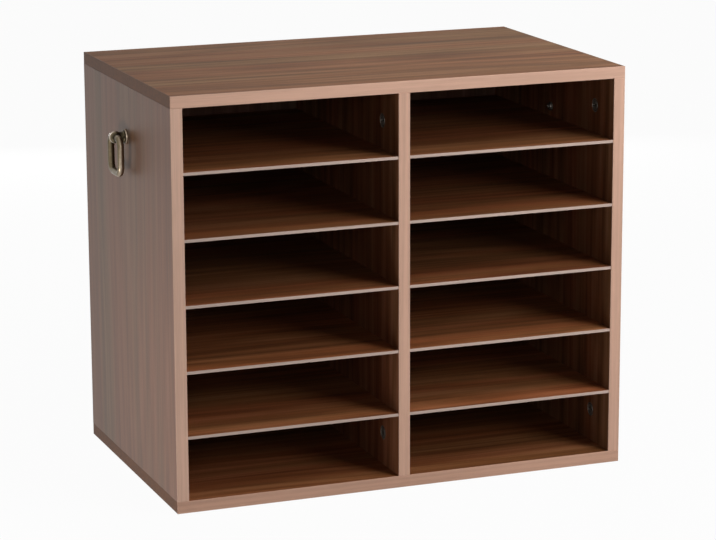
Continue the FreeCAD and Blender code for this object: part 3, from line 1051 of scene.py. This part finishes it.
class MAILSORTER_OT_edge_strips(bpy.types.Operator):
    """Colour the strips on the front edges and on the ends of the top and bottom"""

    bl_idname = "mail_sorter.edge_strips"
    bl_label = "Edge Strips"

    def execute(self, context):
        strips = context.scene.mail_sorter_strips
        standing, lying = ("Z", 0.12, (0.0, 0.0, 0.0)), ("X", 0.12, (0.0, 0.7, 0.0))
        # The left strip gets a lighter copy of the strip colour as painted light, and the bottom strip a
        # darker copy as painted shade.
        own = {
            "left_front_strip": edge_strip("strip_left", strips.left_strip, *standing),
            "top_front_strip": edge_strip("strip_level", strips.front_strip, *lying),
            "bottom_front_strip": edge_strip("strip_bottom", strips.bottom_strip, *lying),
        }
        usual = edge_strip("strip_upright", strips.front_strip, *standing)
        end = edge_strip("strip_end", strips.end_strip, "X", 0.25, (0.3, 0.2, 0.0), gloss=0.175)
        for node in cad:
            if node.endswith("_front_strip"):
                paint(node, own.get(node, usual))
            elif node.endswith("_end_strip"):
                paint(node, end)
        return {"FINISHED"}


class MAILSORTER_OT_cam_locks(bpy.types.Operator):
    """Set cam locks into the sides and the divider"""

    bl_idname = "mail_sorter.cam_locks"
    bl_label = "Cam Locks"

    def execute(self, context):
        fittings = context.scene.mail_sorter_fittings
        tree = cam_lock_tree(shared_block())
        zinc = cast_zinc(fittings)
        single = cam_lock(fittings)
        radius = max(vertex.co.y for vertex in single.vertices)
        turned_left = {"left_side": False, "centre_divider": True, "right_side": True}
        for upright, faces_left in turned_left.items():
            node = upright + "_cam_locks"
            low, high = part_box(node)
            face = low.x if faces_left else high.x
            made = made_by_nodes(upright + "_cams", single.copy(), tree, {
                "Top Front Cam": (face, low.y + radius, high.z - radius),
                "Bottom Front Cam": (face, low.y + radius, low.z + radius),
                "Depth Spacing": high.y - low.y - 2 * radius,
                "Turn": math.pi if faces_left else 0.0,
                "Material": zinc,
            })
            add_piece(upright + "_cams", made, "cabinet", (node,))
        return {"FINISHED"}


class MAILSORTER_OT_joint_fittings(bpy.types.Operator):
    """Fit the cam bolts and fluted dowels that join the uprights to the top and bottom"""

    bl_idname = "mail_sorter.joint_fittings"
    bl_label = "Bolts and Dowels"

    def execute(self, context):
        fittings = context.scene.mail_sorter_fittings
        radius = fittings.bolt_diameter / 2
        tree = joint_fitting_tree(shared_block())
        steel, beech = plated_steel(fittings), beech_dowel(fittings)
        for end, level, tip in (("top", ceiling, 0.0), ("bottom", floor_board_top, math.pi)):
            for kind, material, slot in (("cam_bolts", steel, "steel"), ("dowels", beech, "beech")):
                node = end + "_" + kind
                low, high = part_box(node)
                above = high.z - level if tip == 0.0 else level - low.z
                tall = high.z - low.z
                if kind == "dowels":
                    single = fluted_dowel(radius, fittings.flutes, tall, above)
                else:
                    single = cam_bolt(radius, tall - above)
                name = node + "_set"
                made = made_by_nodes(name, single, tree, {
                    "First Fitting": (-upright_pitch, low.y + radius, level),
                    "Upright Spacing": upright_pitch,
                    "Depth Spacing": high.y - low.y - 2 * radius,
                    "Tip Over": tip,
                    "Material": material,
                })
                add_piece(name, made, "cabinet", (node,))
        return {"FINISHED"}


class MAILSORTER_OT_panel_nails(bpy.types.Operator):
    """Nail the back panel to the boards round it"""

    bl_idname = "mail_sorter.panel_nails"
    bl_label = "Panel Nails"

    def execute(self, context):
        fittings = context.scene.mail_sorter_fittings
        low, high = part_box("back_panel_nails")
        head = fittings.nail_head / 2
        left, right = low.x + head, high.x - head
        row_height = shelf_pitch - size_of("left_shelf_1").z
        column_low, column_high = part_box("centre_divider")[1].x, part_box("right_side_panel")[0].x
        spacing = (column_high - column_low) / fittings.nails_per_column
        tree = panel_nail_tree(shared_block())
        made = made_by_nodes("panel_nails", panel_nail(fittings), tree, {
            "First Upright Nail": (left, back_outer_face, floor_board_top + row_height / 2),
            "Upright Spacing": (right - left) / column_count,
            "Row Spacing": shelf_pitch,
            "Rows": row_count,
            "First End Nail": (-column_high + spacing / 2, back_outer_face, low.z + head),
            "Nail Spacing": spacing,
            "Nails per Column": fittings.nails_per_column,
            "Column Spacing": column_high + column_low,
            "End Spacing": high.z - low.z - 2 * head,
            "Turn Seed": fittings.seed,
            "Material": plated_steel(fittings),
        })
        add_piece("panel_nails", made, "cabinet", ("back_panel_nails",))
        return {"FINISHED"}


class MAILSORTER_OT_handles(bpy.types.Operator):
    """Turn the rosettes and posts and hang a ring in each post's ball"""

    bl_idname = "mail_sorter.handles"
    bl_label = "Ring Handles"

    def execute(self, context):
        handles = context.scene.mail_sorter_handles
        brass = antique_brass(handles)
        clearance = 0.0001
        wire, collar = handles.wire / 2, handles.collar / 2
        for name, hand in hands.items():
            place = (hand, hand * side_face, handle_level)
            plate = put_on_side(rosette(rosette_size.x, rosette_size.y / 2, collar), *place)
            post = put_on_side(handle_post(
                rosette_size.x, ring_standoff, ball_diameter / 2, wire + clearance, collar,
                handles.neck / 2,
            ), *place)
            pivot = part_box(name + "_handle_ring")[1].z - wire
            loop = put_on_side(ring(handles, ring_standoff), hand, hand * side_face, pivot)
            for part, mesh, body in (("rosette", plate, "cabinet"), ("post", post, "cabinet"),
                                     ("ring", loop, name + "_ring")):
                node = name + "_handle_" + part
                add_piece(name + "_brass_" + part, mesh, body, (node,), brass)
        return {"FINISHED"}


class MAILSORTER_OT_handle_screws(bpy.types.Operator):
    """Fasten each handle with a pan-head screw and a washer from inside"""

    bl_idname = "mail_sorter.handle_screws"
    bl_label = "Handle Screws"

    def execute(self, context):
        steel = plated_steel(context.scene.mail_sorter_fittings)
        for name, hand in hands.items():
            disc_low, disc_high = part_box(name + "_handle_washer")
            screw_low, screw_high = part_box(name + "_handle_screw")
            seat = disc_high.x if hand > 0 else disc_low.x
            crown = screw_low.x if hand > 0 else screw_high.x
            disc = put_on_side(washer(washer_size), hand, seat, handle_level, inward=True)
            screw = put_on_side(pan_screw(screw_size), hand, crown, handle_level, inward=True)
            for part, mesh in (("washer", disc), ("screw", screw)):
                node = name + "_handle_" + part
                add_piece(name + "_steel_" + part, mesh, "cabinet", (node,), steel)
        return {"FINISHED"}


class MAILSORTER_OT_studio(bpy.types.Operator):
    """Set up the floor, soft lamps, even sky and camera"""

    bl_idname = "mail_sorter.studio"
    bl_label = "Studio"

    def execute(self, context):
        studio = context.scene.mail_sorter_studio
        add_floor(studio)
        set_sky(studio)
        middle = (0.0, 0.0, 0.2)
        add_lamp("key_lamp", (0.65, -0.63, 1.20), (0.0, -0.1, 0.27), (0.9, 0.8), studio.key_power)
        add_lamp("right_lamp", (1.0, -1.5, 0.80), middle, (0.8, 0.5), studio.right_power)
        add_lamp("front_lamp", (-0.9, -3.0, 0.95), middle, (1.2, 0.8), studio.front_power)
        beside, behind = (-side_face, -0.05, 0.12), (0.0, rear_edge, 0.2)
        add_lamp("side_lamp", (-0.62, -0.17, 0.04), beside, (0.14, 0.16), studio.side_power)
        add_lamp("rear_lamp", (0.45, 1.7, 0.25), behind, (1.4, 0.26), studio.rear_power)
        add_camera(studio)
        context.scene.view_settings.view_transform = "Standard"
        return {"FINISHED"}


# --- Studio -----------------------------------------------------------------------------
def seen_directly(graph):
    """1 for rays that show the surroundings: straight, mirrored or through glass."""
    straight = graph.node("ShaderNodeLightPath", output="Is Camera Ray")
    either = graph.maths("MAXIMUM", straight, straight.other("Is Glossy Ray"))
    return graph.maths("MAXIMUM", either, straight.other("Is Transmission Ray"))


def add_floor(studio):
    """A wide pale disc that glows to white where it is seen and keeps the shadow."""
    radius, drop = 14.0, 0.0002
    shape = bmesh.new()
    bmesh.ops.create_circle(shape, cap_ends=True, cap_tris=True, segments=64, radius=radius)
    bmesh.ops.translate(shape, verts=shape.verts, vec=(0.0, 0.0, -drop))
    mesh = bpy.data.meshes.new("studio_floor")
    shape.to_mesh(mesh)
    shape.free()
    floor = add_object("studio_floor", mesh)
    material = bpy.data.materials.new("pale_floor")
    graph = Graph(cleared_tree(material))
    matt = graph.node("ShaderNodeBsdfDiffuse", {"Color": opaque(studio.floor)})
    glow = graph.node("ShaderNodeEmission", {"Color": white, "Strength": 1.0})
    lift = seen_directly(graph) * studio.floor_glow
    surface = graph.node("ShaderNodeMixShader", {0: lift, 1: matt, 2: glow})
    graph.node("ShaderNodeOutputMaterial", {"Surface": surface})
    mesh.materials.append(material)


def set_sky(studio):
    """Even white light from all round, plain white where it is seen."""
    world = bpy.data.worlds.new("even_sky")
    graph = Graph(cleared_tree(world))
    strength = seen_directly(graph) * (1.0 - studio.sky) + studio.sky
    sky = graph.node("ShaderNodeBackground", {"Color": white, "Strength": strength})
    graph.node("ShaderNodeOutputWorld", {"Surface": sky})
    bpy.context.scene.world = world


def add_lamp(name, place, target, size, power):
    data = bpy.data.lights.new(name, "AREA")
    data.shape = "RECTANGLE"
    data.size, data.size_y = size
    data.energy = power
    lamp = add_object(name, data)
    lamp.location = place
    lamp.visible_camera = False
    lamp.rotation_euler = (Vector(target) - Vector(place)).to_track_quat("-Z", "Y").to_euler()


def add_camera(studio):
    data = bpy.data.cameras.new("studio_camera")
    data.sensor_width = 36.0
    data.lens = studio.focal_length
    camera = add_object("studio_camera", data)
    turn_round = Matrix.Rotation(-studio.camera_turn, 4, "Z")
    tip_down = Matrix.Rotation(math.pi / 2 - studio.camera_dip, 4, "X")
    roll = Matrix.Rotation(studio.camera_roll, 4, "Z")
    camera.matrix_world = Matrix.Translation(studio.camera_place) @ turn_round @ tip_down @ roll
    bpy.context.scene.camera = camera


# --- Panel and registration -------------------------------------------------------------
operators = (
    MAILSORTER_OT_boards, MAILSORTER_OT_shelves, MAILSORTER_OT_back, MAILSORTER_OT_edge_strips,
    MAILSORTER_OT_cam_locks, MAILSORTER_OT_joint_fittings, MAILSORTER_OT_panel_nails,
    MAILSORTER_OT_handles, MAILSORTER_OT_handle_screws, MAILSORTER_OT_studio,
)
settings = {
    "mail_sorter_boards": BoardSettings,
    "mail_sorter_strips": StripSettings,
    "mail_sorter_fittings": FittingSettings,
    "mail_sorter_handles": HandleSettings,
    "mail_sorter_studio": StudioSettings,
}


class MAILSORTER_PT_build(bpy.types.Panel):
    """Steps and settings of the mail sorter"""

    bl_idname = "MAILSORTER_PT_build"
    bl_label = "Pigeonhole Mail Sorter"
    bl_space_type = "VIEW_3D"
    bl_region_type = "UI"
    bl_category = "Mail Sorter"

    def draw(self, context):
        steps = self.layout.column(align=True)
        for operator in operators:
            steps.operator(operator.bl_idname)
        for label in settings:
            box = self.layout.box()
            group = getattr(context.scene, label)
            for name in group.bl_rna.properties.keys():
                if name not in ("rna_type", "name"):
                    box.prop(group, name)


def register():
    for group in settings.values():
        bpy.utils.register_class(group)
    for label, group in settings.items():
        setattr(bpy.types.Scene, label, PointerProperty(type=group))
    for item in (*operators, MAILSORTER_PT_build):
        bpy.utils.register_class(item)


def unregister():
    for item in reversed((*operators, MAILSORTER_PT_build)):
        bpy.utils.unregister_class(item)
    for label in settings:
        delattr(bpy.types.Scene, label)
    for group in reversed(list(settings.values())):
        bpy.utils.unregister_class(group)


def main():
    """Builds every group in order."""
    register()
    for operator in operators:
        group, step = operator.bl_idname.split(".")
        getattr(getattr(bpy.ops, group), step)()


if __name__ == "__main__":
    main()
